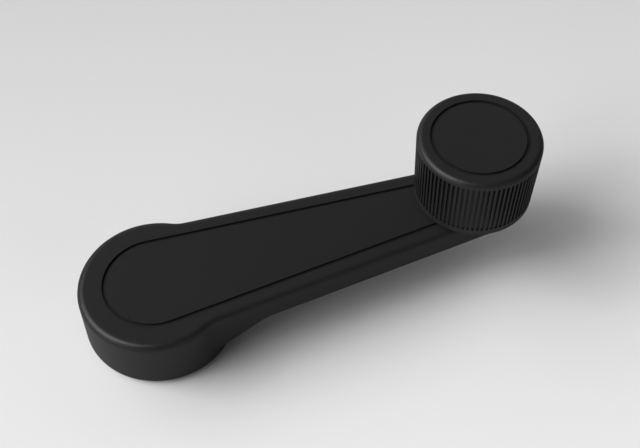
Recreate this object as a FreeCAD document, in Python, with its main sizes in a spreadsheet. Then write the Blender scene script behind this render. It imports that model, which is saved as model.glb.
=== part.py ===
import FreeCAD, Part
import math
import os

import Sketcher

# Crank handle: a moulded lever with a screw-on hub, a flush clip-in cover strip
# and a fluted knob that turns freely on a riveted steel spindle.
# The frame's origin is on the hub axis at the hub's base. +X points to the knob
# and +Z points outwards, away from the surface that the hub is screwed to.
# Lengths are in millimetres and angles in degrees.

SIZES = {
    # lever, as seen from above
    "lever_length": 100.0,
    "hub_radius": 22.5,
    "hub_height": 19.8,
    "hub_blend": 9.9,
    "arm_root": 20.0,
    "arm_tip": 12.0,
    "top_round": 2.1,
    "base_round": 2.65,
    # neck below the arm, where the hub wall flows into the underside
    "neck_drop": 6.8,
    "neck_angle": 33.3,
    "neck_blend": 9.0,
    "neck_foot_round": 1.0,
    # layers of the arm, from the top down
    "strip_thick": 1.8,
    "strip_lip": 1.2,
    "flange_thick": 1.2,
    "core_thick": 2.0,
    "floor_thick": 2.2,
    # cover strip and its seat
    "rim": 5.3,
    "seam": 1.15,
    "slip": 0.1,
    "ledge": 1.5,
    "strip_end": 14.0,
    "hook_first": 22.0,
    "hook_pitch": 27.0,
    "hook_count": 3,
    "hook_length": 5.6,
    "hook_wall": 1.1,
    "hook_half": 3.3,
    "hook_barb": 0.8,
    "hook_nose": 0.9,
    "window_gap": 0.3,
    "rib_wall": 1.2,
    "rib_drop": 0.7,
    # steel core plate
    "core_root": 14.2,
    "core_tip": 7.0,
    # hollows under the hub and along the arm
    "hub_wall": 3.4,
    "boss_radius": 13.4,
    "hub_ceiling": 2.0,
    "hub_ribs": 6,
    "hub_rib_wall": 2.0,
    "slot_first": 38.0,
    "slot_pitch": 9.6,
    "slot_count": 5,
    "slot_length": 8.0,
    "slot_width": 2.2,
    "slot_skin": 2.0,
    "slot_depth": 4.4,
    # drive insert
    "barrel_radius": 8.0,
    "flange_radius": 12.9,
    "mouth_inset": 0.3,
    "well_radius": 5.4,
    "web_thick": 2.0,
    "screw_hole": 2.75,
    "pilot_radius": 6.6,
    "pilot_depth": 3.5,
    "pilot_break": 0.4,
    "spline_root": 6.3,
    "spline_crest": 5.8,
    "spline_teeth": 24,
    "spline_crest_share": 1.4,
    "spline_root_share": 0.5,
    # hub screw and its washers
    "hub_screw_radius": 2.5,
    "hub_screw_reach": 5.8,
    "hub_screw_point": 0.75,
    "hub_head_radius": 4.75,
    "hub_head_height": 2.75,
    "hub_head_crown": 2.15,
    "hub_head_edge": 0.8,
    "hub_key": 3.0,
    "hub_key_depth": 1.6,
    "plain_washer_radius": 5.0,
    "plain_washer_thick": 1.0,
    "lock_washer_radius": 4.6,
    "lock_washer_thick": 1.2,
    "lock_washer_split": 0.8,
    "head_room": 0.25,
    # small screws that hold the insert and the core in the hub
    "small_screw_circle": 10.6,
    "small_screw_radius": 1.5,
    "small_screw_length": 10.0,
    "small_head_radius": 2.7,
    "small_slot_width": 0.8,
    "small_slot_depth": 0.5,
    "small_screw_room": 1.0,
    # knob spindle and what is stacked on it
    "spindle_radius": 4.0,
    "tenon_radius": 3.5,
    "collar_radius": 7.0,
    "collar_thick": 0.6,
    "thrust_radius": 6.8,
    "thrust_thick": 0.7,
    "play": 0.1,
    "running_gap": 0.04,
    "backing_radius": 6.2,
    "backing_thick": 1.0,
    "backing_room": 0.3,
    "rivet_radius": 4.8,
    "rivet_height": 0.9,
    "rivet_crown": 2.6,
    "rivet_edge": 0.6,
    "wave_inner": 4.4,
    "wave_outer": 6.4,
    "wave_sheet": 0.3,
    "wave_rise": 0.6,
    "wave_count": 3,
    "clip_radius": 6.6,
    "clip_thick": 0.8,
    "clip_groove": 3.2,
    "clip_mouth": 5.2,
    "relief_back": 1.9,
    "relief_side": 2.9,
    "relief_radius": 1.0,
    "spindle_nose": 1.5,
    "spindle_break": 0.5,
    # knob
    "knob_height": 23.6,
    "knob_foot": 17.8,
    "knob_top": 18.5,
    "knob_round": 1.8,
    "knob_foot_break": 0.3,
    "knob_skin": 2.2,
    "flute_count": 80,
    "flute_width": 0.82,
    "flute_foot_depth": 0.3,
    "flute_corner": 0.25,
    "flute_clear": 0.2,
    "flute_low": 2.35,
    "flute_high": 1.95,
    "cap_seam_circle": 14.0,
    "cap_thick": 1.8,
    "cap_lip": 1.2,
    "rim_under": 2.6,
    "cup_radius": 12.2,
    "cup_wall": 2.0,
    "cup_floor": 15.0,
    "web_under": 2.2,
    "tube_wall": 1.8,
    "knob_ribs": 6,
    "knob_rib_wall": 1.6,
    "knob_rib_lift": 1.2,
    # cap's snap ring
    "snap_wall": 1.1,
    "snap_drop": 2.6,
    "snap_bead": 0.5,
    "snap_bead_height": 0.8,
    "snap_slots": 6,
    "snap_slot_width": 2.0,
    # bushes
    "bush_wall": 1.36,
    "bush_flange": 6.9,
    "bush_flange_thick": 0.8,
    "bush_length": 6.5,
}

# Screws that hold the drive insert, each a piece of its own.
SMALL_SCREWS = 3


class Size(float):
    """A length or count that also knows the sheet formula it comes from."""

    def __new__(cls, amount, formula):
        self = float.__new__(cls, amount)
        self.formula = formula
        return self

    def __add__(self, other):
        return Size(float(self) + float(other), "(%s + %s)" % (self.formula, written(other)))

    def __radd__(self, other):
        return Size(float(other) + float(self), "(%s + %s)" % (written(other), self.formula))

    def __sub__(self, other):
        return Size(float(self) - float(other), "(%s - %s)" % (self.formula, written(other)))

    def __rsub__(self, other):
        return Size(float(other) - float(self), "(%s - %s)" % (written(other), self.formula))

    def __mul__(self, other):
        return Size(float(self) * float(other), "(%s * %s)" % (self.formula, written(other)))

    def __rmul__(self, other):
        return Size(float(other) * float(self), "(%s * %s)" % (written(other), self.formula))

    def __truediv__(self, other):
        return Size(float(self) / float(other), "(%s / %s)" % (self.formula, written(other)))

    def __rtruediv__(self, other):
        return Size(float(other) / float(self), "(%s / %s)" % (written(other), self.formula))

    def __neg__(self):
        return Size(-float(self), "(-1 * %s)" % self.formula)


def written(amount):
    """The formula of a size, or the digits of a plain number."""
    return amount.formula if isinstance(amount, Size) else repr(float(amount))


def root_of(amount):
    return Size(math.sqrt(amount), "sqrt(%s)" % written(amount))


def sine(degrees):
    return Size(math.sin(math.radians(degrees)), "sin(%s)" % written(degrees))


def cosine(degrees):
    return Size(math.cos(math.radians(degrees)), "cos(%s)" % written(degrees))


doc = FreeCAD.newDocument("CrankHandle")
sheet = doc.addObject("Spreadsheet::Sheet", "Sizes")
for row, (alias, amount) in enumerate(SIZES.items(), start=1):
    sheet.set("A%d" % row, alias.replace("_", " "))
    sheet.set("B%d" % row, str(amount))
    sheet.setAlias("B%d" % row, alias)
doc.recompute()


class Sheet:
    """Reads the sheet's cells as sizes."""

    def __getattr__(self, alias):
        return Size(float(getattr(sheet, alias)), "Sizes." + alias)


s = Sheet()

# Heights that more than one piece shares, measured from the hub's base.
arm_top = s.hub_height
strip_seat = arm_top - s.strip_thick
core_top = strip_seat - s.flange_thick
core_bottom = core_top - s.core_thick
arm_bottom = core_bottom - s.floor_thick
well_floor = (strip_seat - s.head_room - s.hub_head_height
              - s.lock_washer_thick - s.plain_washer_thick)
web_bottom = well_floor - s.web_thick
knob_base = arm_top + s.collar_thick + s.thrust_thick + s.play

# The arm's straight sides lean by this much towards the knob.
side_sine = (s.arm_root - s.arm_tip) / s.lever_length
side_cosine = root_of(1 - side_sine * side_sine)


def bind(thing, name, amount):
    """Ties a property to the sheet, or sets it when the amount is a plain number."""
    if isinstance(amount, Size):
        thing.setExpression(name, amount.formula)
    else:
        setattr(thing, name, amount)


def place(thing, x=None, y=None, z=None):
    for axis, amount in (("x", x), ("y", y), ("z", z)):
        if amount is not None:
            thing.setExpression("Placement.Base." + axis, written(amount))


def new_body(name):
    body = doc.addObject("PartDesign::Body", name)
    body.Label = name
    return body


def datum(body, role):
    """One of a body's own origin planes or axes."""
    return next(f for f in body.Origin.OriginFeatures if f.Role == role)


def sketch_on(body, name, role="XY_Plane", height=None):
    sketch = body.newObject("Sketcher::SketchObject", name)
    sketch.AttachmentSupport = [(datum(body, role), "")]
    sketch.MapMode = "FlatFace"
    if height is not None:
        sketch.setExpression("AttachmentOffset.Base.z", written(height))
    return sketch


def tie(sketch, constraint, amount):
    """Adds a dimension, tied to the sheet."""
    index = sketch.addConstraint(constraint)
    if isinstance(amount, Size):
        sketch.renameConstraint(index, "d%d" % index)
        sketch.setExpression("Constraints.d%d" % index, amount.formula)


def tie_point(sketch, line, end, x, y):
    """Holds an end of an edge at a place measured from the sketch's origin."""
    if abs(x) < 1e-9:
        sketch.addConstraint(Sketcher.Constraint("PointOnObject", line, end, -2))
    else:
        tie(sketch, Sketcher.Constraint("DistanceX", -1, 1, line, end, float(x)), x)
    if abs(y) < 1e-9:
        sketch.addConstraint(Sketcher.Constraint("PointOnObject", line, end, -1))
    else:
        tie(sketch, Sketcher.Constraint("DistanceY", -1, 1, line, end, float(y)), y)


def circle(sketch, x, y, radius):
    centre = FreeCAD.Vector(x, y, 0)
    ring = sketch.addGeometry(Part.Circle(centre, FreeCAD.Vector(0, 0, 1), float(radius)))
    tie_point(sketch, ring, 3, x, y)
    tie(sketch, Sketcher.Constraint("Radius", ring, float(radius)), radius)


def outline(sketch, corners):
    """A closed outline through corners (x, y). A third item makes the edge that
    leaves the corner an arc: (centre x, centre y, radius, +1 or -1), where +1
    turns anticlockwise."""
    edges = []
    for here, there in zip(corners, corners[1:] + corners[:1]):
        start = FreeCAD.Vector(here[0], here[1], 0)
        end = FreeCAD.Vector(there[0], there[1], 0)
        if len(here) == 2:
            edges.append((sketch.addGeometry(Part.LineSegment(start, end)), 1, 2))
            continue
        centre_x, centre_y, radius, turn = here[2]
        first, last = (start, end) if turn > 0 else (end, start)
        angles = [math.atan2(p.y - centre_y, p.x - centre_x) for p in (first, last)]
        if angles[1] <= angles[0]:
            angles[1] += 2 * math.pi
        centre = FreeCAD.Vector(centre_x, centre_y, 0)
        ring = Part.Circle(centre, FreeCAD.Vector(0, 0, 1), float(radius))
        arc = sketch.addGeometry(Part.ArcOfCircle(ring, angles[0], angles[1]))
        edges.append((arc, 1, 2) if turn > 0 else (arc, 2, 1))
    for number, (edge, start, end) in enumerate(edges):
        after, after_start, _ = edges[(number + 1) % len(edges)]
        sketch.addConstraint(Sketcher.Constraint("Coincident", edge, end, after, after_start))
        tie_point(sketch, edge, start, corners[number][0], corners[number][1])
        if len(corners[number]) == 3:
            radius = corners[number][2][2]
            tie(sketch, Sketcher.Constraint("Radius", edge, float(radius)), radius)


def turning_line(sketch, start, end):
    """A construction line that a groove turns about."""
    line = Part.LineSegment(FreeCAD.Vector(start[0], start[1], 0),
                            FreeCAD.Vector(end[0], end[1], 0))
    axis = sketch.addGeometry(line, True)
    tie_point(sketch, axis, 1, start[0], start[1])
    tie_point(sketch, axis, 2, end[0], end[1])


def rectangle(sketch, x_low, x_high, y_low, y_high):
    outline(sketch, [(x_low, y_low), (x_high, y_low), (x_high, y_high), (x_low, y_high)])


def tapered_bar(sketch, root, tip, end=None):
    """Outline of a bar that is round about the hub axis and narrows towards the
    knob axis, where it ends round, or square at the distance end from the hub."""
    sine_here = (root - tip) / s.lever_length
    cosine_here = root_of(1 - sine_here * sine_here)
    near = (root * sine_here, root * cosine_here)
    if end is None:
        far = (s.lever_length + tip * sine_here, tip * cosine_here)
        close = (s.lever_length, 0.0, tip, -1)
        corners = [(near[0], near[1]), (far[0], far[1], close), (far[0], -far[1])]
    else:
        far = (end, (root - end * sine_here) / cosine_here)
        corners = [(near[0], near[1]), (far[0], far[1]), (far[0], -far[1])]
    outline(sketch, corners + [(near[0], -near[1], (0.0, 0.0, root, -1))])


def feature(body, kind, name, sketch):
    made = body.newObject("PartDesign::" + kind, name)
    made.Profile = sketch
    sketch.Visibility = False
    return made


def pad(body, name, sketch, length, both_ways=False):
    made = feature(body, "Pad", name, sketch)
    bind(made, "Length", length)
    if both_ways:
        made.SideType = "Symmetric"
    doc.recompute()
    return made


def checked_cut(body, made, before):
    """A cut that misses the solid shows no error, so the volume is compared."""
    doc.recompute()
    if not made.Shape.Volume < before - 1e-6:
        raise RuntimeError("%s of %s cuts nothing" % (made.Name, body.Label))
    return made


def pocket(body, name, sketch, depth):
    """Cuts from the sketch downwards, against its normal."""
    before = body.Shape.Volume
    made = feature(body, "Pocket", name, sketch)
    bind(made, "Length", depth)
    return checked_cut(body, made, before)


def groove(body, name, sketch, axis="V_Axis"):
    before = body.Shape.Volume
    made = feature(body, "Groove", name, sketch)
    made.ReferenceAxis = (sketch, [axis])
    made.Angle = 360.0
    return checked_cut(body, made, before)


def turned(name, corners):
    """A body turned about its own Z axis from the half section (radius, height)."""
    body = new_body(name)
    half = sketch_on(body, name + "_section", "XZ_Plane")
    outline(half, corners)
    made = feature(body, "Revolution", name + "_turning", half)
    made.ReferenceAxis = (half, ["V_Axis"])
    made.Angle = 360.0
    doc.recompute()
    return body


def polar(body, name, original, count):
    made = body.newObject("PartDesign::PolarPattern", name)
    made.Originals = [original]
    made.Axis = (datum(body, "Z_Axis"), [""])
    made.Angle = 360.0
    bind(made, "Occurrences", count)
    body.Tip = made
    doc.recompute()
    return made


def linear(body, name, original, direction, length, count):
    made = body.newObject("PartDesign::LinearPattern", name)
    made.Originals = [original]
    made.Direction = direction
    bind(made, "Length", length)
    bind(made, "Occurrences", count)
    body.Tip = made
    doc.recompute()
    return made


def edges_where(shape, test):
    return ["Edge%d" % (i + 1) for i, edge in enumerate(shape.Edges) if test(edge)]


def dress(body, kind, name, radius, test):
    """A fillet or chamfer on those edges of the body that pass the test."""
    base = body.Tip
    names = edges_where(base.Shape, test)
    if not names:
        raise RuntimeError("%s of %s finds no edge" % (name, body.Label))
    made = body.newObject("PartDesign::" + kind, name)
    made.Base = (base, names)
    bind(made, "Radius" if kind == "Fillet" else "Size", radius)
    doc.recompute()
    return made


def level(edge, height):
    """Whether the whole edge lies at one height."""
    box = edge.BoundBox
    return abs(box.ZMin - height) < 1e-4 and abs(box.ZMax - height) < 1e-4


def ring_at(edge, radius, height, x=0.0):
    """Whether the edge is part of a level circle about the axis at x."""
    curve = edge.Curve
    return (level(edge, height) and isinstance(curve, Part.Circle)
            and abs(curve.Radius - radius) < 1e-4 and abs(curve.Center.x - x) < 1e-3
            and abs(curve.Center.y) < 1e-3)


def arm_housing():
    """One-piece moulding: hub, arm, neck, seat for the strip and hollow underside."""
    body = new_body("arm_housing")

    # Foot of the neck: a small hollow leads from the hub wall into the slope.
    neck_foot = arm_bottom - s.neck_drop
    half_corner = (90 + s.neck_angle) / 2
    foot_tangent = s.neck_foot_round * cosine(half_corner) / sine(half_corner)
    foot_low = neck_foot - foot_tangent

    # Plan outline: hub circle, hollow blends, leaning sides and the round end.
    blend_reach = s.hub_radius + s.hub_blend
    blend_side = s.arm_root + s.hub_blend
    along = root_of(blend_reach * blend_reach - blend_side * blend_side)
    centre = (blend_side * side_sine + along * side_cosine,
              blend_side * side_cosine - along * side_sine)
    on_hub = (centre[0] * s.hub_radius / blend_reach, centre[1] * s.hub_radius / blend_reach)
    on_side = (centre[0] - s.hub_blend * side_sine, centre[1] - s.hub_blend * side_cosine)
    at_end = (s.lever_length + s.arm_tip * side_sine, s.arm_tip * side_cosine)
    plan = sketch_on(body, "plan", height=foot_low)
    outline(plan, [
        (on_hub[0], on_hub[1], (centre[0], centre[1], s.hub_blend, 1)),
        (on_side[0], on_side[1]),
        (at_end[0], at_end[1], (s.lever_length, 0.0, s.arm_tip, -1)),
        (at_end[0], -at_end[1]),
        (on_side[0], -on_side[1], (centre[0], -centre[1], s.hub_blend, 1)),
        (on_hub[0], -on_hub[1], (0.0, 0.0, s.hub_radius, -1)),
    ])
    pad(body, "lever_block", plan, arm_top - foot_low)

    # Underside: a cone rises from the hub wall and blends into the flat arm.
    tangent = s.neck_blend * (1 - cosine(s.neck_angle)) / sine(s.neck_angle)
    meet = s.hub_radius + s.neck_drop * cosine(s.neck_angle) / sine(s.neck_angle)
    slope_end = (meet - tangent * cosine(s.neck_angle),
                 arm_bottom - tangent * sine(s.neck_angle))
    blend_end = (meet + tangent, arm_bottom)
    beyond = s.lever_length + 2 * s.arm_tip
    under = sketch_on(body, "underside", "XZ_Plane")
    outline(under, [
        (s.hub_radius, foot_low,
         (s.hub_radius + s.neck_foot_round, foot_low, s.neck_foot_round, -1)),
        (s.hub_radius + foot_tangent * cosine(s.neck_angle),
         neck_foot + foot_tangent * sine(s.neck_angle)),
        (slope_end[0], slope_end[1],
         (blend_end[0], arm_bottom - s.neck_blend, s.neck_blend, -1)),
        (blend_end[0], blend_end[1]),
        (beyond, arm_bottom),
        (beyond, foot_low),
    ])
    groove(body, "neck", under)

    hub = sketch_on(body, "hub_circle")
    circle(hub, 0.0, 0.0, s.hub_radius)
    pad(body, "hub", hub, arm_top)

    dress(body, "Fillet", "top_edge", s.top_round, lambda e: level(e, arm_top))
    dress(body, "Fillet", "base_edge", s.base_round, lambda e: level(e, 0.0))

    # Seat of the cover strip, and the shallower channel that bares the core.
    strip_line = s.lever_length - s.strip_end
    seat_root = s.arm_root - s.rim + s.seam / 2
    seat_tip = s.arm_tip - s.rim + s.seam / 2
    seat = sketch_on(body, "strip_seat", height=arm_top)
    tapered_bar(seat, seat_root, seat_tip, strip_line)
    pocket(body, "seat", seat, s.strip_thick)
    channel = sketch_on(body, "channel_plan", height=strip_seat)
    tapered_bar(channel, seat_root - s.ledge, seat_tip - s.ledge, strip_line - s.ledge)
    pocket(body, "channel", channel, s.flange_thick)

    # The core plate is moulded in: its edges and its eye are buried.
    core = sketch_on(body, "core_plan", height=core_top)
    tapered_bar(core, s.core_root, s.core_tip)
    pocket(body, "core_bed", core, s.core_thick)

    # Blind rooms for the strip's barbs, below the windows of the core.
    rooms = sketch_on(body, "barb_plan", height=core_bottom)
    barb_half = s.hook_half + s.hook_barb + s.window_gap
    half_long = s.hook_length / 2 + s.window_gap
    rectangle(rooms, s.hook_first - half_long, s.hook_first + half_long, -barb_half, barb_half)
    room = pocket(body, "barb_room", rooms, s.hook_nose + s.window_gap)
    linear(body, "barb_rooms", room, (datum(body, "X_Axis"), [""]),
           s.hook_pitch * (s.hook_count - 1), s.hook_count)

    # Bore for the drive insert and threaded holes for its small screws.
    bore = sketch_on(body, "insert_plan", height=core_bottom)
    circle(bore, 0.0, 0.0, s.barrel_radius)
    pocket(body, "insert_bore", bore, core_bottom)
    pilot = sketch_on(body, "small_hole_plan", height=core_bottom)
    circle(pilot, -s.small_screw_circle, 0.0, s.small_screw_radius)
    depth = s.small_screw_length + s.small_screw_room - (strip_seat - core_bottom)
    hole = pocket(body, "small_hole", pilot, depth)
    polar(body, "small_holes", hole, SMALL_SCREWS)

    # Hollows between the boss, the hub wall and the radial ribs.
    ceiling = core_bottom - s.hub_ceiling
    inner, outer = s.boss_radius, s.hub_radius - s.hub_wall
    half = s.hub_rib_wall / 2
    turn = 180 / s.hub_ribs
    sector = []
    for radius in (inner, outer):
        run = root_of(radius * radius - half * half)
        sector.append((run * cosine(turn) + half * sine(turn),
                       run * sine(turn) - half * cosine(turn)))
    cell = sketch_on(body, "hollow_plan", height=ceiling)
    cell.setExpression("AttachmentOffset.Rotation.Angle", turn.formula)
    outline(cell, [
        (sector[0][0], -sector[0][1]),
        (sector[1][0], -sector[1][1], (0.0, 0.0, outer, 1)),
        (sector[1][0], sector[1][1]),
        (sector[0][0], sector[0][1], (0.0, 0.0, inner, -1)),
    ])
    hollow = pocket(body, "hollow", cell, ceiling)
    polar(body, "hollows", hollow, s.hub_ribs)

    # Slots along both sides that keep the moulded wall even.
    lean = Size(math.degrees(math.asin(side_sine)), "asin(%s)" % side_sine.formula)
    for hand, side in ((1, "left"), (-1, "right")):
        slot = sketch_on(body, side + "_slot_plan", height=arm_bottom + s.slot_depth)
        slot.setExpression("AttachmentOffset.Rotation.Angle", (-hand * lean).formula)
        near, far = sorted([hand * (s.arm_root - s.slot_skin),
                            hand * (s.arm_root - s.slot_skin - s.slot_width)])
        rectangle(slot, s.slot_first, s.slot_first + s.slot_length, near, far)
        first = pocket(body, side + "_slot", slot, s.slot_depth)
        linear(body, side + "_slots", first, (slot, ["H_Axis"]),
               s.slot_pitch * (s.slot_count - 1), s.slot_count)

    # Spindle hole, and the round pocket for its backing washer and rivet head.
    eye = sketch_on(body, "spindle_plan", height=arm_top)
    circle(eye, s.lever_length, 0.0, s.tenon_radius)
    pocket(body, "spindle_hole", eye, arm_top - arm_bottom)
    back = sketch_on(body, "rivet_plan", height=core_bottom)
    circle(back, s.lever_length, 0.0, s.backing_radius + s.backing_room)
    pocket(body, "rivet_pocket", back, s.floor_thick)
    return body


def lever_core():
    """Steel plate moulded into the arm, with windows for the strip's hooks."""
    body = new_body("lever_core")
    plan = sketch_on(body, "plate_plan", height=core_bottom)
    tapered_bar(plan, s.core_root, s.core_tip)
    pad(body, "plate", plan, s.core_thick)
    holes = sketch_on(body, "plate_holes", height=core_top)
    circle(holes, 0.0, 0.0, s.barrel_radius)
    circle(holes, s.lever_length, 0.0, s.tenon_radius)
    pocket(body, "barrel_and_tenon_holes", holes, s.core_thick)
    pass_hole = sketch_on(body, "pass_plan", height=core_top)
    circle(pass_hole, -s.small_screw_circle, 0.0, s.small_screw_radius)
    hole = pocket(body, "pass_hole", pass_hole, s.core_thick)
    polar(body, "pass_holes", hole, SMALL_SCREWS)
    window = sketch_on(body, "window_plan", height=core_top)
    half_long = s.hook_length / 2 + s.window_gap
    half_wide = s.hook_half + s.slip
    rectangle(window, s.hook_first - half_long, s.hook_first + half_long, -half_wide, half_wide)
    first = pocket(body, "window", window, s.core_thick)
    linear(body, "windows", first, (datum(body, "X_Axis"), [""]),
           s.hook_pitch * (s.hook_count - 1), s.hook_count)
    return body


def drive_insert():
    """Flanged steel hub insert: screw well above, splined drive socket below."""
    body = turned("drive_insert", [
        (s.screw_hole, web_bottom),
        (s.spline_crest, web_bottom),
        (s.spline_crest, s.mouth_inset),
        (s.barrel_radius, s.mouth_inset),
        (s.barrel_radius, core_top),
        (s.flange_radius, core_top),
        (s.flange_radius, strip_seat),
        (s.well_radius, strip_seat),
        (s.well_radius, well_floor),
        (s.screw_hole, well_floor),
    ])
    # One tooth space of the spline, repeated round the socket.
    half_pitch = math.pi / 2 / s.spline_teeth
    space = sketch_on(body, "tooth_space", height=web_bottom)
    inside = s.spline_crest - s.slip
    crest_half = inside * half_pitch * s.spline_crest_share
    root_half = s.spline_root * half_pitch * s.spline_root_share
    outline(space, [
        (inside, -crest_half),
        (s.spline_root, -root_half),
        (s.spline_root, root_half),
        (inside, crest_half),
    ])
    first = pocket(body, "spline", space, web_bottom - s.mouth_inset)
    polar(body, "splines", first, s.spline_teeth)
    pilot_top = s.mouth_inset + s.pilot_depth
    lead = sketch_on(body, "pilot_plan", height=pilot_top)
    circle(lead, 0.0, 0.0, s.pilot_radius)
    pocket(body, "pilot", lead, s.pilot_depth)
    dress(body, "Chamfer", "mouth_break", s.pilot_break,
          lambda e: ring_at(e, s.pilot_radius, s.mouth_inset))
    sink = sketch_on(body, "sink_plan", "XZ_Plane")
    place_x = -s.small_screw_circle
    outline(sink, [
        (place_x, strip_seat),
        (place_x - s.small_head_radius, strip_seat),
        (place_x - s.small_screw_radius, core_top),
        (place_x, core_top),
    ])
    turning_line(sink, (place_x, core_top), (place_x, strip_seat))
    first = groove(body, "countersink", sink, "Axis0")
    polar(body, "countersinks", first, SMALL_SCREWS)
    return body


def small_screw(number):
    """Countersunk screw that holds the insert's flange and the core to the hub."""
    tip = -s.small_screw_length
    body = turned("insert_screw_%d" % number, [
        (0.0, tip),
        (s.small_screw_radius - s.small_slot_depth, tip),
        (s.small_screw_radius, tip + s.small_screw_radius),
        (s.small_screw_radius, -s.flange_thick),
        (s.small_head_radius, 0.0),
        (0.0, 0.0),
    ])
    bar = sketch_on(body, "slot_plan", height=0.0)
    long_half = s.small_head_radius
    wide_half = s.small_slot_width / 2
    rectangle(bar, -long_half, long_half, -wide_half, wide_half)
    pocket(body, "driver_slot", bar, s.small_slot_depth)
    angle = 180 + 360 * (number - 1) / SMALL_SCREWS
    across = math.cos(math.radians(angle)), math.sin(math.radians(angle))
    place(body, s.small_screw_circle * across[0], s.small_screw_circle * across[1], strip_seat)
    return body


def hub_screw():
    """Low round-headed screw with a hexagon socket, on the hub axis."""
    under = s.plain_washer_thick + s.lock_washer_thick
    tip = -(s.web_thick + s.hub_screw_reach)
    body = turned("hub_screw", [
        (0.0, tip),
        (s.hub_screw_radius - s.hub_screw_point, tip),
        (s.hub_screw_radius, tip + s.hub_screw_point),
        (s.hub_screw_radius, under),
        (s.hub_head_radius, under),
        (s.hub_head_radius, under + s.hub_head_edge),
        (s.hub_head_crown, under + s.hub_head_height),
        (0.0, under + s.hub_head_height),
    ])
    key = sketch_on(body, "key_plan", height=under + s.hub_head_height)
    corner_reach = s.hub_key / math.sqrt(3)
    outline(key, [(corner_reach * math.cos(math.radians(a)),
                   corner_reach * math.sin(math.radians(a)))
                  for a in (0, 60, 120, 180, 240, 300)])
    pocket(body, "key_socket", key, s.hub_key_depth)
    place(body, z=well_floor)
    return body


def washer(name, outer, inner, thick, x, z):
    """A plain ring, turned flat."""
    disc = doc.addObject("Part::Cylinder", name + "_disc")
    hole = doc.addObject("Part::Cylinder", name + "_hole")
    for piece, radius in ((disc, outer), (hole, inner)):
        bind(piece, "Radius", radius)
        bind(piece, "Height", thick)
    ring = doc.addObject("Part::Cut", name)
    ring.Label = name
    ring.Base = disc
    ring.Tool = hole
    place(ring, x, None, z)
    return ring


def lock_washer():
    """Spring washer: a ring with a slanting split."""
    body = new_body("hub_lock_washer")
    plan = sketch_on(body, "ring_plan")
    circle(plan, 0.0, 0.0, s.lock_washer_radius)
    circle(plan, 0.0, 0.0, s.hub_screw_radius + s.slip)
    pad(body, "ring", plan, s.lock_washer_thick)
    split = sketch_on(body, "split_plan", "YZ_Plane", height=s.lock_washer_radius)
    lean = s.lock_washer_split
    outline(split, [
        (-lean, 0.0), (0.0, 0.0), (lean, s.lock_washer_thick), (0.0, s.lock_washer_thick),
    ])
    pocket(body, "split", split, s.lock_washer_radius)
    place(body, z=well_floor + s.plain_washer_thick)
    return body


def cover_strip():
    """Flush strip over the hub screw, held by hooks in the core's windows."""
    body = new_body("cover_strip")
    lip_root = s.arm_root - s.rim + s.seam / 2 - s.slip
    lip_tip = s.arm_tip - s.rim + s.seam / 2 - s.slip
    line = s.lever_length - s.strip_end
    lip = sketch_on(body, "lip_plan", height=strip_seat)
    tapered_bar(lip, lip_root, lip_tip, line - s.slip)
    pad(body, "lip", lip, s.strip_lip)
    face_root = s.arm_root - s.rim - s.seam / 2
    face_tip = s.arm_tip - s.rim - s.seam / 2
    face = sketch_on(body, "face_plan", height=strip_seat)
    tapered_bar(face, face_root, face_tip, line - s.seam)
    pad(body, "face", face, s.strip_thick)

    # A pair of hooks, seen along the arm, repeated at each window.
    wall, half = s.hook_wall, s.hook_half
    catch = core_bottom - s.slip
    nose = catch - s.hook_nose + s.slip
    for hand in (1, -1):
        hook = sketch_on(body, "hook_%s" % ("left" if hand > 0 else "right"), "YZ_Plane",
                         height=s.hook_first)
        outline(hook, [
            (hand * half, strip_seat),
            (hand * half, catch),
            (hand * (half + s.hook_barb), catch),
            (hand * half, nose),
            (hand * (half - wall), nose),
            (hand * (half - wall), strip_seat),
        ])
        made = pad(body, "hook_%s_pad" % ("left" if hand > 0 else "right"), hook,
                   s.hook_length, both_ways=True)
        linear(body, "hooks_%s" % ("left" if hand > 0 else "right"), made,
               (datum(body, "X_Axis"), [""]), s.hook_pitch * (s.hook_count - 1), s.hook_count)

    # Stiffening ribs on the underside, between the hub flange and the strip's end.
    for hand, name in ((1, "rib_left"), (-1, "rib_right")):
        rib = sketch_on(body, name, height=strip_seat - s.rib_drop)
        near = hand * (s.hook_half - s.hook_wall)
        far = near - hand * s.rib_wall
        low, high = sorted([near, far])
        rectangle(rib, s.flange_radius + s.ledge, line - s.ledge * 2, low, high)
        pad(body, name + "_pad", rib, s.rib_drop)
    return body


def knob_spindle():
    """Shouldered steel pin, riveted below the core and grooved for its clip."""
    seat = -(arm_top - core_bottom)
    head_top = seat - s.backing_thick
    groove_low = clip_level() - arm_top
    groove_high = groove_low + s.clip_thick
    top = groove_high + s.spindle_nose
    body = turned("knob_spindle", [
        (0.0, head_top - s.rivet_height),
        (s.rivet_crown, head_top - s.rivet_height),
        (s.rivet_radius, head_top - s.rivet_height + s.rivet_edge),
        (s.rivet_radius, head_top),
        (s.tenon_radius, head_top),
        (s.tenon_radius, 0.0),
        (s.collar_radius, 0.0),
        (s.collar_radius, s.collar_thick),
        (s.spindle_radius, s.collar_thick),
        (s.spindle_radius, groove_low),
        (s.clip_groove, groove_low),
        (s.clip_groove, groove_high),
        (s.spindle_radius, groove_high),
        (s.spindle_radius, top - s.spindle_break),
        (s.spindle_radius - s.spindle_break, top),
        (0.0, top),
    ])
    place(body, s.lever_length, None, arm_top)
    return body


def upper_stack():
    """Height of the upper thrust washer's underside."""
    return knob_base + s.cup_floor + s.bush_flange_thick + s.play


def clip_level():
    """Height of the retaining clip's underside."""
    return upper_stack() + s.thrust_thick + s.wave_sheet + s.wave_rise


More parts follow.
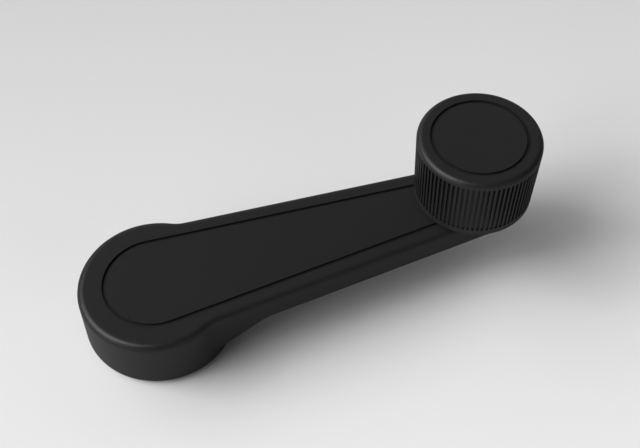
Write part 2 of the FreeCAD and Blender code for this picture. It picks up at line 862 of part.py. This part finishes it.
def wave_washer():
    """Spring washer that bows up and down round the spindle."""
    steps = 4 * int(s.wave_count)
    rims = []
    for radius in (s.wave_inner, s.wave_outer):
        points = []
        for step in range(steps):
            angle = 2 * math.pi * step / steps
            lift = s.wave_rise / 2 * (1 - math.cos(s.wave_count * angle))
            points.append(FreeCAD.Vector(radius * math.cos(angle), radius * math.sin(angle), lift))
        curve = Part.BSplineCurve()
        curve.interpolate(points, PeriodicFlag=True)
        rims.append(curve.toShape())
    sheet_face = Part.makeRuledSurface(rims[0], rims[1])
    spring = doc.addObject("Part::Feature", "wave_washer")
    spring.Label = "wave_washer"
    spring.Shape = sheet_face.extrude(FreeCAD.Vector(0, 0, s.wave_sheet))
    spring.Placement = FreeCAD.Placement(
        FreeCAD.Vector(s.lever_length, 0, upper_stack() + s.thrust_thick), FreeCAD.Rotation())
    return spring


def retaining_clip():
    """Open ring that snaps into the spindle's groove."""
    body = new_body("retaining_clip")
    plan = sketch_on(body, "clip_plan")
    circle(plan, 0.0, 0.0, s.clip_radius)
    circle(plan, 0.0, 0.0, s.clip_groove)
    pad(body, "ring", plan, s.clip_thick)
    mouth = sketch_on(body, "mouth_plan", height=s.clip_thick)
    rectangle(mouth, 0.0, 2 * s.clip_radius, -s.clip_mouth / 2, s.clip_mouth / 2)
    pocket(body, "mouth", mouth, s.clip_thick)
    relief = sketch_on(body, "relief_plan", height=s.clip_thick)
    circle(relief, -s.relief_back, s.relief_side, s.relief_radius)
    circle(relief, -s.relief_back, -s.relief_side, s.relief_radius)
    pocket(body, "reliefs", relief, s.clip_thick)
    place(body, s.lever_length, None, clip_level())
    return body


def knob_shell():
    """Moulded grip: fluted skin, cap seat, cup and spindle tube, open below."""
    taper = (s.knob_top - s.knob_foot) / s.knob_height
    top = s.knob_height
    cap_seat = top - s.cap_thick
    seat_radius = s.cap_seam_circle + s.seam / 2
    roof = top - s.rim_under
    cup_outer = s.cup_radius + s.cup_wall
    tube_bore = s.spindle_radius + s.running_gap + s.bush_wall
    tube_outer = tube_bore + s.tube_wall
    web_low = s.cup_floor - s.web_under
    snap_high = cap_seat - s.snap_drop + s.snap_bead_height + s.play
    snap_low = cap_seat - s.snap_drop
    snap_radius = s.cup_radius + s.snap_bead
    body = turned("knob_shell", [
        (s.knob_foot, 0.0),
        (s.knob_top, top),
        (seat_radius, top),
        (seat_radius, cap_seat),
        (s.cup_radius, cap_seat),
        (s.cup_radius, snap_high),
        (snap_radius, snap_high),
        (snap_radius, snap_low),
        (s.cup_radius, snap_low),
        (s.cup_radius, s.cup_floor),
        (tube_bore, s.cup_floor),
        (tube_bore, s.bush_flange_thick),
        (tube_outer, s.bush_flange_thick),
        (tube_outer, web_low),
        (cup_outer, web_low),
        (cup_outer, roof),
        (s.knob_foot + taper * roof - s.knob_skin, roof),
        (s.knob_foot - s.knob_skin, 0.0),
    ])
    dress(body, "Fillet", "top_edge", s.knob_round, lambda e: ring_at(e, s.knob_top, top))
    dress(body, "Chamfer", "foot_edge", s.knob_foot_break, lambda e: ring_at(e, s.knob_foot, 0.0))

    # Ribs tie the tube and the cup to the skin.
    rib = sketch_on(body, "rib_plan", "XZ_Plane")
    into_skin = s.knob_foot - s.knob_skin / 2
    into_roof = into_skin + taper * roof
    outline(rib, [
        (tube_outer - s.tube_wall / 2, s.knob_rib_lift),
        (into_skin, s.knob_rib_lift),
        (into_roof, roof + s.slip),
        (s.cup_radius + s.cup_wall / 2, roof + s.slip),
        (s.cup_radius + s.cup_wall / 2, web_low + s.slip),
        (tube_outer - s.tube_wall / 2, web_low + s.slip),
    ])
    first = pad(body, "rib", rib, s.knob_rib_wall, both_ways=True)
    polar(body, "ribs", first, s.knob_ribs)

    # One flute with its corners cut off, repeated. Its floor stands upright, so that the
    # leaning skin makes it deepest at the top.
    half = s.flute_width / 2
    low, high, corner = s.flute_low, top - s.flute_high, s.flute_corner
    flute = sketch_on(body, "flute_plan", "YZ_Plane", height=s.knob_top + s.flute_clear)
    outline(flute, [
        (half, low + corner),
        (half, high - corner),
        (half - corner, high),
        (corner - half, high),
        (-half, high - corner),
        (-half, low + corner),
        (corner - half, low),
        (half - corner, low),
    ])
    first = pocket(body, "flute", flute,
                   s.flute_clear + s.knob_top - s.knob_foot + s.flute_foot_depth)
    polar(body, "flutes", first, s.flute_count)
    body.setExpression("Placement.Rotation.Angle", (180 / s.flute_count).formula)
    place(body, s.lever_length, None, knob_base)
    return body


def knob_cap():
    """Flush cap with a slotted snap ring."""
    top = s.cap_thick
    face_radius = s.cap_seam_circle - s.seam / 2
    lip_radius = s.cap_seam_circle + s.seam / 2 - s.slip
    ring_outer = s.cup_radius - s.slip
    ring_inner = ring_outer - s.snap_wall
    bead = s.cup_radius + s.snap_bead - s.slip
    foot = -s.snap_drop
    body = turned("knob_cap", [
        (0.0, 0.0),
        (ring_inner, 0.0),
        (ring_inner, foot),
        (ring_outer, foot),
        (bead, foot + s.snap_bead_height / 2),
        (bead, foot + s.snap_bead_height),
        (ring_outer, foot + s.snap_bead_height),
        (ring_outer, 0.0),
        (lip_radius, 0.0),
        (lip_radius, s.cap_lip),
        (face_radius, s.cap_lip),
        (face_radius, top),
        (0.0, top),
    ])
    gap = sketch_on(body, "gap_plan", height=0.0)
    half = s.snap_slot_width / 2
    rectangle(gap, ring_inner - s.snap_wall, bead + s.snap_wall, -half, half)
    first = pocket(body, "ring_gap", gap, s.snap_drop)
    polar(body, "ring_gaps", first, s.snap_slots)
    place(body, s.lever_length, None, knob_base + s.knob_height - s.cap_thick)
    return body


def knob_bush(name, flange_up):
    """Flanged bush pressed into the knob's tube, running on the spindle."""
    bore = s.spindle_radius + s.running_gap
    sleeve = bore + s.bush_wall
    length = s.bush_flange_thick + s.bush_length
    if flange_up:
        corners = [
            (bore, -s.bush_length),
            (sleeve, -s.bush_length),
            (sleeve, 0.0),
            (s.bush_flange, 0.0),
            (s.bush_flange, s.bush_flange_thick),
            (bore, s.bush_flange_thick),
        ]
        height = knob_base + s.cup_floor
    else:
        corners = [
            (bore, 0.0),
            (s.bush_flange, 0.0),
            (s.bush_flange, s.bush_flange_thick),
            (sleeve, s.bush_flange_thick),
            (sleeve, length),
            (bore, length),
        ]
        height = knob_base
    body = turned(name, corners)
    place(body, s.lever_length, None, height)
    return body


subparts = [
    arm_housing(),
    lever_core(),
    drive_insert(),
    *(small_screw(number + 1) for number in range(SMALL_SCREWS)),
    washer("hub_plain_washer", s.plain_washer_radius, s.hub_screw_radius + s.slip,
           s.plain_washer_thick, None, well_floor),
    lock_washer(),
    hub_screw(),
    cover_strip(),
    knob_spindle(),
    washer("spindle_backing_washer", s.backing_radius, s.tenon_radius, s.backing_thick,
           s.lever_length, core_bottom - s.backing_thick),
    washer("lower_thrust_washer", s.thrust_radius, s.spindle_radius + s.slip, s.thrust_thick,
           s.lever_length, arm_top + s.collar_thick),
    washer("upper_thrust_washer", s.thrust_radius, s.spindle_radius + s.slip, s.thrust_thick,
           s.lever_length, upper_stack()),
    wave_washer(),
    retaining_clip(),
    knob_shell(),
    knob_bush("knob_bush_lower", flange_up=False),
    knob_bush("knob_bush_upper", flange_up=True),
    knob_cap(),
]
doc.recompute()

for item in doc.Objects:
    if "Invalid" in item.State or "Error" in item.State:
        raise RuntimeError("%s failed to build" % item.Name)
for part in subparts:
    if part.Shape.isNull() or not part.Shape.isValid() or not part.Shape.Solids:
        raise RuntimeError("%s has no sound solid" % part.Label)

os.makedirs("parts", exist_ok=True)
for part in subparts:
    part.Shape.exportStep("parts/%s.step" % part.Label)
    print("%-24s %9.2f mm3" % (part.Label, part.Shape.Volume))
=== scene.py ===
"""Looks of the crank handle: a moulded lever and a fluted knob on a pale floor."""

import math

import bmesh
import bpy
from mathutils import Matrix, Vector


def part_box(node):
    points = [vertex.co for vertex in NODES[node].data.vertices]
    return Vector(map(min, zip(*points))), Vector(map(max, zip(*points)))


bl_info = {
    "name": "Crank handle",
    "version": (1, 0, 0),
    "blender": (4, 5, 0),
    "location": "3D View > Sidebar > Crank",
    "description": "Dresses the lever, the knob and their fittings and sets the studio",
    "category": "Object",
}

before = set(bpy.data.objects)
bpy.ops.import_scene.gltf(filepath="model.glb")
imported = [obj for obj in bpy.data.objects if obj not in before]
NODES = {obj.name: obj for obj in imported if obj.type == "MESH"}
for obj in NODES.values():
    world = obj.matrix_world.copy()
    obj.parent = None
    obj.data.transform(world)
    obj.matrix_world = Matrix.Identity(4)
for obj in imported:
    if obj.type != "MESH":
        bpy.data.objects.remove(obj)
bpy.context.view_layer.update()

ARM_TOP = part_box("arm_housing")[1].z
SHELL_LOW, SHELL_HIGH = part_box("knob_shell")
HUB_AXIS = (0.0, 0.0)
KNOB_AXIS = ((SHELL_LOW.x + SHELL_HIGH.x) / 2, 0.0)

# Noise scales are in cycles per metre, and the depth of the relief is in metres. Numbers in
# _SHADES multiply a finish's shade, and _UNEVEN is how far a noise moves its roughness.
RELIEF_DEPTH = 0.00002

# Moulding: wide cloudiness, and the mould's grain with finer pits in it.
CLOUD_SCALE, CLOUD_DETAIL = 60.0, 3.0
GRAIN_SCALE, GRAIN_DETAIL, GRAIN_HARSHNESS = 5200.0, 2.0, 0.6
PIT_SCALE, PIT_DETAIL = 14000.0, 1.0
CLOUD_SHADES = (0.93, 1.07)
GRAIN_SHADE, GRAIN_SHARE = 1.25, 0.3
CLOUD_UNEVEN, GRAIN_UNEVEN = 0.04, 0.04
GRAIN_RELIEF, PIT_RELIEF = 0.7, 0.3
MOULDING_BUMP = 0.22
STRIP_SHADE, CAP_SHADE = 0.95, 0.98

# Metal: rings about an axis, left by the tool, and a mottled surface.
RING_DETAIL, RING_HARSHNESS = 3.0, 0.7
MOTTLE_SCALE, MOTTLE_DETAIL = 900.0, 3.0
METAL_SHADES = (0.82, 1.12)
MOTTLE_SHARE, RING_SHARE = 0.6, 0.4
RING_UNEVEN, MOTTLE_UNEVEN = 0.16, 0.08
METAL_BUMP = 0.4
PLAIN, BLUISH, BRASSY = (1.0, 0.99, 0.97), (0.93, 0.95, 1.0), (1.0, 0.74, 0.38)

# Each metal: name, shade, roughness, scale of its rings and their axis, tint, and pieces.
METALS = (
    ("core_steel", 0.42, 0.42, 500.0, HUB_AXIS, PLAIN, ("lever_core",)),
    ("insert_steel", 0.5, 0.34, 3000.0, HUB_AXIS, PLAIN, ("drive_insert",)),
    ("screw_steel", 0.45, 0.3, 5000.0, HUB_AXIS, PLAIN,
     ("hub_screw", "hub_plain_washer", "hub_lock_washer",
      "insert_screw_1", "insert_screw_2", "insert_screw_3")),
    ("spindle_steel", 0.55, 0.25, 5000.0, KNOB_AXIS, PLAIN,
     ("knob_spindle", "spindle_backing_washer")),
    ("spring_steel", 0.3, 0.32, 3000.0, KNOB_AXIS, BLUISH, ("wave_washer", "retaining_clip")),
    ("bush_brass", 0.7, 0.3, 4000.0, KNOB_AXIS, BRASSY,
     ("knob_bush_lower", "knob_bush_upper")),
)

# Natural nylon of the thrust washers.
NYLON_DARK, NYLON_PALE = (0.58, 0.55, 0.46, 1.0), (0.68, 0.65, 0.57, 1.0)
NYLON_CLOUD_SCALE, NYLON_CLOUD_DETAIL = 300.0, 3.0
NYLON_GRAIN_SCALE, NYLON_GRAIN_DETAIL = 6000.0, 2.0
NYLON_ROUGHNESS, NYLON_UNEVEN = 0.42, 0.1
NYLON_GLOW_THROUGH = 0.15
NYLON_BUMP = 0.3
NYLON_PIECES = ("lower_thrust_washer", "upper_thrust_washer")

# Camera: where the photograph was taken from, in the handle's own frame.
CAMERA_PITCH = 52.9124
CAMERA_ROLL = 0.2137
CAMERA_YAW = 19.3726
CAMERA_SHIFT = (-0.047802, -0.016799, 0.337615)
SENSOR = 36.0
CLIP_NEAR, CLIP_FAR = 0.01, 100.0

# Azimuths are in degrees from the camera's right, and this one points straight away from it.
AWAY = 90.0

# Each lamp: name, setting that gives the strength, share of it, azimuth, elevation and width.
LAMPS = (
    ("key_left", "key", 0.34, 180.0, 30.0, 34.0),
    ("key_near", "key", 0.22, 208.0, 31.0, 32.0),
    ("key_high", "key", 0.2, 183.0, 50.0, 34.0),
    ("key_far", "key", 0.17, 148.0, 38.0, 36.0),
    ("key_rear", "key", 0.07, 112.0, 30.0, 40.0),
    ("fill_left", "fill", 0.56, 226.0, 12.0, 40.0),
    ("fill_right", "fill", 0.44, 314.0, 12.0, 46.0),
    ("rear", "rear", 1.0, 62.0, 31.0, 40.0),
)
LAMP_DISTANCE = 1.0

# Floor: half its width, and how far beyond the hub the painted shade on its paper starts and
# ends.
FLOOR_HALF = 40.0
FLOOR_NEAR, FLOOR_FAR = -0.05, 0.14

# Room: the greys at the horizon and from ROOM_RISE up, and the softbox, with the widths in
# degrees of its bright core and of all of it.
ROOM_PALE, ROOM_DIM = 0.25, 0.02
ROOM_RISE = 0.6
BOX_AZIMUTH, BOX_ELEVATION = 208.0, 57.0
BOX_CORE, BOX_EDGE = 14.0, 30.0


class Wire:
    """A shader socket that can stand in a sum, a product or a power."""

    def __init__(self, graph, socket):
        self.graph = graph
        self.socket = socket

    def _with(self, operation, first, second):
        return self.graph.node("ShaderNodeMath", {"operation": operation}, {0: first, 1: second})

    def __add__(self, other):
        return self._with("ADD", self, other)

    def __radd__(self, other):
        return self._with("ADD", other, self)

    def __sub__(self, other):
        return self._with("SUBTRACT", self, other)

    def __rsub__(self, other):
        return self._with("SUBTRACT", other, self)

    def __mul__(self, other):
        return self._with("MULTIPLY", self, other)

    def __rmul__(self, other):
        return self._with("MULTIPLY", other, self)

    def __truediv__(self, other):
        return self._with("DIVIDE", self, other)

    def __rtruediv__(self, other):
        return self._with("DIVIDE", other, self)

    def __pow__(self, other):
        return self._with("POWER", self, other)

    def __rpow__(self, other):
        return self._with("POWER", other, self)

    def clamp(self):
        """The value held between 0 and 1."""
        return self.graph.node(
            "ShaderNodeMath", {"operation": "ADD", "use_clamp": True}, {0: self, 1: 0.0})


class Graph:
    """The node tree of one material or of the world."""

    def __init__(self, owner):
        owner.use_nodes = True
        self.tree = owner.node_tree
        self.tree.nodes.clear()

    def put(self, socket, value):
        """Links or sets one input socket."""
        if isinstance(value, Wire):
            self.tree.links.new(value.socket, socket)
        else:
            socket.default_value = value

    def node(self, kind, settings=None, inputs=None, output=0):
        """Adds a node, sets it up, fills its sockets and returns one output or several."""
        made = self.tree.nodes.new(kind)
        for name, value in (settings or {}).items():
            setattr(made, name, value)
        for key, value in (inputs or {}).items():
            self.put(made.inputs[key], value)
        if isinstance(output, tuple):
            return tuple(Wire(self, made.outputs[key]) for key in output)
        return Wire(self, made.outputs[output]) if made.outputs else None

    def coordinates(self):
        """Object coordinates, in metres, on an object that sits at the origin."""
        return self.node("ShaderNodeTexCoord", output="Object")

    def split(self, vector):
        """The three parts of a vector."""
        return self.node("ShaderNodeSeparateXYZ", {}, {0: vector}, output=("X", "Y", "Z"))

    def noise(self, where, scale, detail, harshness=0.5):
        """A noise between 0 and 1."""
        return self.node(
            "ShaderNodeTexNoise", {"noise_dimensions": "3D"},
            {"Vector": where, "Scale": scale, "Detail": detail, "Roughness": harshness})

    def mix(self, factor, first, second):
        """A colour between first, at 0, and second, at 1."""
        return self.node(
            "ShaderNodeMix", {"data_type": "RGBA"}, {0: factor, 6: first, 7: second}, output=2)

    def bump(self, height, strength):
        """A normal for the relief of a noise."""
        return self.node(
            "ShaderNodeBump", {},
            {"Height": height, "Distance": RELIEF_DEPTH, "Strength": strength})

    def finish_surface(self, **sockets):
        """Ends a material in one principled shader."""
        names = {
            "colour": "Base Color", "roughness": "Roughness", "metallic": "Metallic",
            "normal": "Normal", "specular": "Specular IOR Level", "coat": "Coat Weight",
            "coat_roughness": "Coat Roughness", "subsurface": "Subsurface Weight",
        }
        shader = self.node(
            "ShaderNodeBsdfPrincipled", {}, {names[k]: v for k, v in sockets.items()})
        self.node("ShaderNodeOutputMaterial", {}, {"Surface": shader})


def grey(level):
    """A linear grey as a colour."""
    return (level, level, level, 1.0)


def moulded_black(name, look, share=1.0):
    """Matt black nylon from a spark-eroded mould: fine grain and faint cloudiness."""
    material = bpy.data.materials.new(name)
    graph = Graph(material)
    level = look.level * share
    where = graph.coordinates()
    cloud = graph.noise(where, CLOUD_SCALE, CLOUD_DETAIL)
    grain = graph.noise(where, GRAIN_SCALE, GRAIN_DETAIL, GRAIN_HARSHNESS)
    pits = graph.noise(where, PIT_SCALE, PIT_DETAIL)
    low, high = (grey(level * factor) for factor in CLOUD_SHADES)
    shade = graph.mix(cloud, low, high)
    graph.finish_surface(
        colour=graph.mix(grain * GRAIN_SHARE, shade, grey(level * GRAIN_SHADE)),
        roughness=(look.roughness + (cloud - 0.5) * CLOUD_UNEVEN
                   + (grain - 0.5) * GRAIN_UNEVEN),
        specular=0.0,
        coat=look.gloss,
        coat_roughness=look.roughness,
        normal=graph.bump(grain * GRAIN_RELIEF + pits * PIT_RELIEF, MOULDING_BUMP),
    )
    return material


def worked_metal(name, level, roughness, ring_scale, axis, tint):
    """Metal with fine rings about an upright axis and a mottled surface."""
    material = bpy.data.materials.new(name)
    graph = Graph(material)
    where = graph.coordinates()
    centred = graph.node(
        "ShaderNodeMapping", {"vector_type": "POINT"},
        {"Vector": where, "Location": (-axis[0], -axis[1], 0.0)})
    x, y, z = graph.split(centred)
    radius = (x * x + y * y) ** 0.5
    section = graph.node("ShaderNodeCombineXYZ", {}, {0: radius, 1: z})
    rings = graph.noise(section, ring_scale, RING_DETAIL, RING_HARSHNESS)
    mottle = graph.noise(where, MOTTLE_SCALE, MOTTLE_DETAIL)
    low, high = (tuple(level * factor * part for part in tint) + (1.0,)
                 for factor in METAL_SHADES)
    graph.finish_surface(
        colour=graph.mix(mottle * MOTTLE_SHARE + rings * RING_SHARE, low, high),
        metallic=1.0,
        roughness=roughness + (rings - 0.5) * RING_UNEVEN + (mottle - 0.5) * MOTTLE_UNEVEN,
        normal=graph.bump(rings, METAL_BUMP),
    )
    return material


def pale_nylon(name):
    """Natural nylon of the thrust washers."""
    material = bpy.data.materials.new(name)
    graph = Graph(material)
    where = graph.coordinates()
    cloud = graph.noise(where, NYLON_CLOUD_SCALE, NYLON_CLOUD_DETAIL)
    grain = graph.noise(where, NYLON_GRAIN_SCALE, NYLON_GRAIN_DETAIL)
    graph.finish_surface(
        colour=graph.mix(cloud, NYLON_DARK, NYLON_PALE),
        roughness=NYLON_ROUGHNESS + (grain - 0.5) * NYLON_UNEVEN,
        subsurface=NYLON_GLOW_THROUGH,
        normal=graph.bump(grain, NYLON_BUMP),
    )
    return material


def dress(node, material):
    """Puts one material on a carried-over node."""
    carried = NODES[node]
    if not carried.material_slots:
        carried.data.materials.append(material)
    for slot in carried.material_slots:
        slot.material = material


def add_object(name, data):
    """Puts a new object in the scene."""
    added = bpy.data.objects.new(name, data)
    bpy.context.scene.collection.objects.link(added)
    return added


def heading(azimuth):
    """Level direction at an azimuth."""
    angle = math.radians(azimuth - CAMERA_YAW)
    return Vector((math.cos(angle), math.sin(angle), 0.0))


def towards(azimuth, elevation):
    """Direction at an azimuth and an elevation."""
    height = math.radians(elevation)
    return heading(azimuth) * math.cos(height) + Vector((0.0, 0.0, math.sin(height)))


def floor_paper(near, far):
    """Pale paper, painted a little darker away from the camera as painted shade, that hides from
    below.
    """
    material = bpy.data.materials.new("floor_paper")
    graph = Graph(material)
    turned = graph.node(
        "ShaderNodeMapping", {"vector_type": "TEXTURE"},
        {"Vector": graph.coordinates(),
         "Rotation": (0.0, 0.0, math.radians(AWAY - CAMERA_YAW)),
         "Location": heading(AWAY) * FLOOR_NEAR,
         "Scale": (FLOOR_FAR - FLOOR_NEAR, 1.0, 1.0)})
    # Painted shade: the grey falls from near to far away from the camera, in place of light
    # falling off.
    distance = graph.split(turned)[0].clamp()
    paper = graph.node(
        "ShaderNodeBsdfDiffuse", {}, {"Color": graph.mix(distance, grey(near), grey(far))})
    clear = graph.node("ShaderNodeBsdfTransparent")
    below = graph.node("ShaderNodeNewGeometry", output="Backfacing")
    shown = graph.node("ShaderNodeMixShader", {}, {0: below, 1: paper, 2: clear})
    graph.node("ShaderNodeOutputMaterial", {}, {"Surface": shown})
    return material


def lay_floor(near, far):
    """Lays the paper that the handle stands on, as a part of the stage."""
    made = bmesh.new()
    bmesh.ops.create_grid(made, x_segments=1, y_segments=1, size=FLOOR_HALF)
    mesh = bpy.data.meshes.new("floor")
    made.to_mesh(mesh)
    made.free()
    floor = add_object("floor", mesh)
    mesh.materials.append(floor_paper(near, far))


def studio_world(glow):
    """A room with one softbox on the left, seen by the camera and in reflections only."""
    world = bpy.data.worlds.new("studio")
    graph = Graph(world)
    direction = graph.node("ShaderNodeTexCoord", output="Generated")
    rise = (graph.split(direction)[2] / ROOM_RISE).clamp()
    aim = graph.node(
        "ShaderNodeVectorMath", {"operation": "DOT_PRODUCT"},
        {0: direction, 1: towards(BOX_AZIMUTH, BOX_ELEVATION)}, output="Value")
    core, edge = (math.cos(math.radians(width / 2)) for width in (BOX_CORE, BOX_EDGE))
    box = ((aim - edge) / (core - edge)).clamp()
    room = graph.mix(box, graph.mix(rise, grey(ROOM_PALE), grey(ROOM_DIM)), grey(glow))
    camera, glossy, through = graph.node(
        "ShaderNodeLightPath",
        output=("Is Camera Ray", "Is Glossy Ray", "Is Transmission Ray"))
    light = graph.node(
        "ShaderNodeBackground", {},
        {"Color": room, "Strength": (camera + glossy + through).clamp()})
    graph.node("ShaderNodeOutputWorld", {}, {"Surface": light})
    return world


def soft_lamp(name, strength, azimuth, elevation, width):
    """A distant lamp that looks width degrees across from the object."""
    lamp = bpy.data.lights.new(name, "SUN")
    lamp.energy = strength
    lamp.angle = math.radians(width)
    holder = add_object(name, lamp)
    there = towards(azimuth, elevation)
    holder.location = there * LAMP_DISTANCE
    holder.rotation_euler = (-there).to_track_quat("-Z", "Y").to_euler()


def camera_matrix():
    """World matrix of the camera from its pitch, roll, yaw and offset."""
    tilt = math.radians(CAMERA_PITCH)
    axes = Matrix((
        (1.0, 0.0, 0.0),
        (0.0, math.sin(tilt), math.cos(tilt)),
        (0.0, math.cos(tilt), -math.sin(tilt)),
    ))
    turn = (Matrix.Rotation(math.radians(CAMERA_ROLL), 3, "Z") @ axes
            @ Matrix.Rotation(math.radians(CAMERA_YAW), 3, "Z"))
    eye = -(turn.transposed() @ Vector(CAMERA_SHIFT)) + Vector((0.0, 0.0, ARM_TOP))
    columns = Matrix((turn[0], turn[1], -turn[2])).transposed()
    return Matrix.Translation(eye) @ columns.to_4x4()


def aimed_camera(focal_length):
    """A camera that stands where the photograph was taken."""
    lens = bpy.data.cameras.new("camera")
    lens.lens = focal_length
    lens.sensor_fit = "HORIZONTAL"
    lens.sensor_width = SENSOR
    lens.clip_start, lens.clip_end = CLIP_NEAR, CLIP_FAR
    camera = add_object("camera", lens)
    camera.matrix_world = camera_matrix()
    return camera


class MouldedFinish(bpy.types.PropertyGroup):
    """Finish of the lever, its strip, the knob and its cap."""
    level: bpy.props.FloatProperty(
        name="Shade", description="Linear grey of the mouldings",
        default=0.0144, min=0.0, max=1.0, subtype="FACTOR")
    roughness: bpy.props.FloatProperty(
        name="Roughness", description="How matt the mouldings are",
        default=0.37, min=0.0, max=1.0, subtype="FACTOR")
    gloss: bpy.props.FloatProperty(
        name="Gloss", description="Strength of the mouldings' reflection",
        default=0.32, min=0.0, max=1.0, subtype="FACTOR")


class StudioSettings(bpy.types.PropertyGroup):
    """Camera, lamps, softbox and floor."""
    lens: bpy.props.FloatProperty(
        name="Lens", description="Focal length for a sensor 36 mm wide",
        default=65.744, min=10.0, max=300.0, unit="CAMERA")
    key: bpy.props.FloatProperty(
        name="Key light", description="Strength of the broad soft light on the left",
        default=5.03, min=0.0, max=20.0)
    fill: bpy.props.FloatProperty(
        name="Fill light", description="Strength of the low lamps in front",
        default=0.88, min=0.0, max=20.0)
    rear: bpy.props.FloatProperty(
        name="Rear light", description="Strength of the weak lamp behind, on the right",
        default=0.2, min=0.0, max=20.0)
    glow: bpy.props.FloatProperty(
        name="Softbox glow", description="Brightness of the softbox that reflections show",
        default=15.0, min=0.0, max=50.0)
    near_floor: bpy.props.FloatProperty(
        name="Near floor", description="Linear grey of the floor in front",
        default=0.823, min=0.0, max=1.0, subtype="FACTOR")
    # The far grey is painted shade, darker than the near grey in place of light falling off.
    far_floor: bpy.props.FloatProperty(
        name="Far floor", description="Linear grey of the floor behind",
        default=0.643, min=0.0, max=1.0, subtype="FACTOR")


class CRANK_OT_lever(bpy.types.Operator):
    """Gives the lever and its cover strip their moulded finish"""
    bl_idname = "crank.lever"
    bl_label = "Lever"

    def execute(self, context):
        look = context.scene.crank_finish
        dress("arm_housing", moulded_black("lever_black", look))
        dress("cover_strip", moulded_black("strip_black", look, STRIP_SHADE))
        return {"FINISHED"}


class CRANK_OT_knob(bpy.types.Operator):
    """Gives the knob and its cap their moulded finish"""
    bl_idname = "crank.knob"
    bl_label = "Knob"

    def execute(self, context):
        look = context.scene.crank_finish
        dress("knob_shell", moulded_black("grip_black", look))
        dress("knob_cap", moulded_black("cap_black", look, CAP_SHADE))
        return {"FINISHED"}


class CRANK_OT_fittings(bpy.types.Operator):
    """Gives the steel, brass and nylon fittings their finishes"""
    bl_idname = "crank.fittings"
    bl_label = "Fittings"

    def execute(self, context):
        for *finish, pieces in METALS:
            metal = worked_metal(*finish)
            for piece in pieces:
                dress(piece, metal)
        nylon = pale_nylon("washer_nylon")
        for piece in NYLON_PIECES:
            dress(piece, nylon)
        return {"FINISHED"}


class CRANK_OT_studio(bpy.types.Operator):
    """Sets the pale floor, the room, the soft lamps and the camera"""
    bl_idname = "crank.studio"
    bl_label = "Studio"

    def execute(self, context):
        scene = context.scene
        look = scene.crank_studio
        scene.view_settings.view_transform = "Standard"
        lay_floor(look.near_floor, look.far_floor)
        scene.world = studio_world(look.glow)
        for name, setting, share, azimuth, elevation, width in LAMPS:
            soft_lamp(name, share * getattr(look, setting), azimuth, elevation, width)
        scene.camera = aimed_camera(look.lens)
        return {"FINISHED"}


class CRANK_PT_panel(bpy.types.Panel):
    """Lists the operators and their settings"""
    bl_idname = "CRANK_PT_panel"
    bl_label = "Crank handle"
    bl_space_type = "VIEW_3D"
    bl_region_type = "UI"
    bl_category = "Crank"

    def draw(self, context):
        layout = self.layout
        for operator in OPERATORS:
            layout.operator(operator.bl_idname)
        for group in (context.scene.crank_finish, context.scene.crank_studio):
            box = layout.box()
            for name in group.__annotations__:
                box.prop(group, name)


OPERATORS = (CRANK_OT_lever, CRANK_OT_knob, CRANK_OT_fittings, CRANK_OT_studio)
CLASSES = (MouldedFinish, StudioSettings, *OPERATORS, CRANK_PT_panel)


def register():
    for cls in CLASSES:
        bpy.utils.register_class(cls)
    bpy.types.Scene.crank_finish = bpy.props.PointerProperty(type=MouldedFinish)
    bpy.types.Scene.crank_studio = bpy.props.PointerProperty(type=StudioSettings)


def unregister():
    del bpy.types.Scene.crank_studio
    del bpy.types.Scene.crank_finish
    for cls in reversed(CLASSES):
        bpy.utils.unregister_class(cls)


def main():
    register()
    bpy.ops.crank.lever()
    bpy.ops.crank.knob()
    bpy.ops.crank.fittings()
    bpy.ops.crank.studio()


if __name__ == "__main__":
    main()
